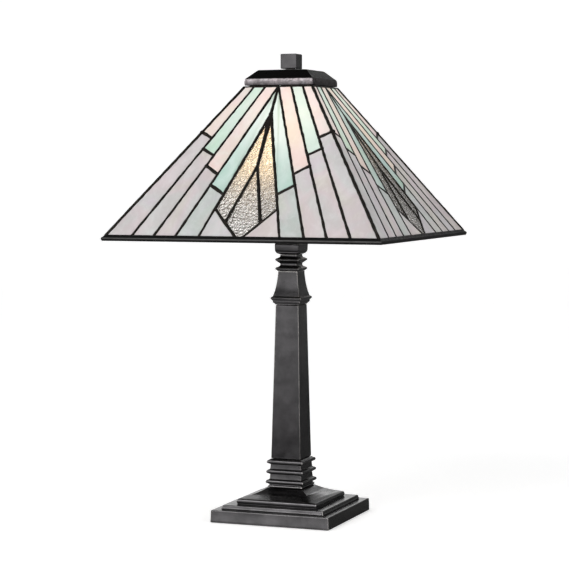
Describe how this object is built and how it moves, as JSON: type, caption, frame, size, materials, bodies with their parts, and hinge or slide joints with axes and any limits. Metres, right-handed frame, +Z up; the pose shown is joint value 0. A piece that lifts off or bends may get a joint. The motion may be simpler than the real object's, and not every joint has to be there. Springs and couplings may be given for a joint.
{
  "type": "stained glass table lamp",
  "caption": "Square mission-style table lamp with a pyramid shade of leaded opalescent glass on a stepped base and tapered square column.",
  "frame": {"origin": "the centre of the base's felt underside, on the surface that the lamp stands on", "axes": "+Z up along the column, -Y towards the front face of the shade, +X towards its right face"},
  "size_m": [0.4008, 0.4008, 0.656],
  "materials": {
    "bronze": "dark bronze patina, satin",
    "lead_solder": "black patina over soldered seams",
    "zinc_steel": "zinc plated",
    "brass": "plain brass",
    "porcelain": "glazed porcelain",
    "phenolic": "moulded, satin",
    "felt": "dark felt",
    "rubber": "matt",
    "opal_glass": "opalescent sheet glass in cream, mint, peach, turquoise and grey-white",
    "clear_glass": "clear hammered sheet glass",
    "bulb_glass": "inside-frosted"
  },
  "bodies": {
    "lamp_stand": {"base_casting": "bronze", "base_weight": "zinc_steel", "base_cover_plate": "zinc_steel", "base_felt_pad": "felt", "cord_grommet": "rubber", "base_washer": "zinc_steel", "base_nut": "zinc_steel", "column_foot_collar": "bronze", "column_shaft": "bronze", "column_bell_neck": "bronze", "column_ring_neck": "bronze", "column_cap_block": "bronze", "lamp_pipe": "zinc_steel", "column_lock_nut": "zinc_steel", "cluster_hub": "bronze", "cluster_arm_front": "bronze", "lampholder_cap_front": "bronze", "lampholder_shell_front": "bronze", "lampholder_liner_front": "porcelain", "lampholder_contact_front": "brass", "cluster_arm_rear": "bronze", "lampholder_cap_rear": "bronze", "lampholder_shell_rear": "bronze", "lampholder_liner_rear": "porcelain", "lampholder_contact_rear": "brass", "shade_rod": "zinc_steel", "shade_rest_nut": "brass"},
    "shade_rest": {"shade_rest_washer": "brass"},
    "shade": {"glass_field_front_a": "opal_glass", "glass_field_front_b": "opal_glass", "glass_kite_front": "clear_glass", "lead_lattice_front": "lead_solder", "glass_field_right_a": "opal_glass", "glass_field_right_b": "opal_glass", "glass_kite_right": "clear_glass", "lead_lattice_right": "lead_solder", "glass_field_rear_a": "opal_glass", "glass_field_rear_b": "opal_glass", "glass_kite_rear": "clear_glass", "lead_lattice_rear": "lead_solder", "glass_field_left_a": "opal_glass", "glass_field_left_b": "opal_glass", "glass_kite_left": "clear_glass", "lead_lattice_left": "lead_solder", "corner_lead_front_right": "lead_solder", "corner_lead_right_rear": "lead_solder", "corner_lead_rear_left": "lead_solder", "corner_lead_left_front": "lead_solder", "rim_lead": "lead_solder", "shade_top_frame": "brass", "shade_spider": "brass", "shade_cap": "bronze"},
    "finial": {"finial": "bronze", "finial_insert": "brass"},
    "bulb_front": {"bulb_screw_cap_front": "brass", "bulb_glass_front": "bulb_glass"},
    "switch_front": {"switch_knob_front": "phenolic"},
    "bulb_rear": {"bulb_screw_cap_rear": "brass", "bulb_glass_rear": "bulb_glass"},
    "switch_rear": {"switch_knob_rear": "phenolic"}
  },
  "joints": [
    {"name": "shade_lift", "type": "slide", "parent": "lamp_stand", "child": "shade_rest", "axis": [0, 0, 1], "range_m": [0, 0.26]},
    {"name": "shade_swivel", "type": "hinge", "parent": "shade_rest", "child": "shade", "pos_m": [0, 0, 0.6047], "axis": [0, 0, 1], "continuous": true},
    {"name": "finial_turn", "type": "hinge", "parent": "shade", "child": "finial", "pos_m": [0, 0, 0.645], "axis": [0, 0, 1], "continuous": true},
    {"name": "bulb_front_turn", "type": "hinge", "parent": "lamp_stand", "child": "bulb_front", "pos_m": [0, -0.046, 0.485], "axis": [0, 0, 1], "continuous": true},
    {"name": "bulb_rear_turn", "type": "hinge", "parent": "lamp_stand", "child": "bulb_rear", "pos_m": [0, 0.046, 0.485], "axis": [0, 0, 1], "continuous": true},
    {"name": "switch_front_turn", "type": "hinge", "parent": "lamp_stand", "child": "switch_front", "pos_m": [0.03, -0.046, 0.461], "axis": [1, 0, 0], "continuous": true},
    {"name": "switch_rear_turn", "type": "hinge", "parent": "lamp_stand", "child": "switch_rear", "pos_m": [-0.03, 0.046, 0.461], "axis": [-1, 0, 0], "continuous": true}
  ]
}
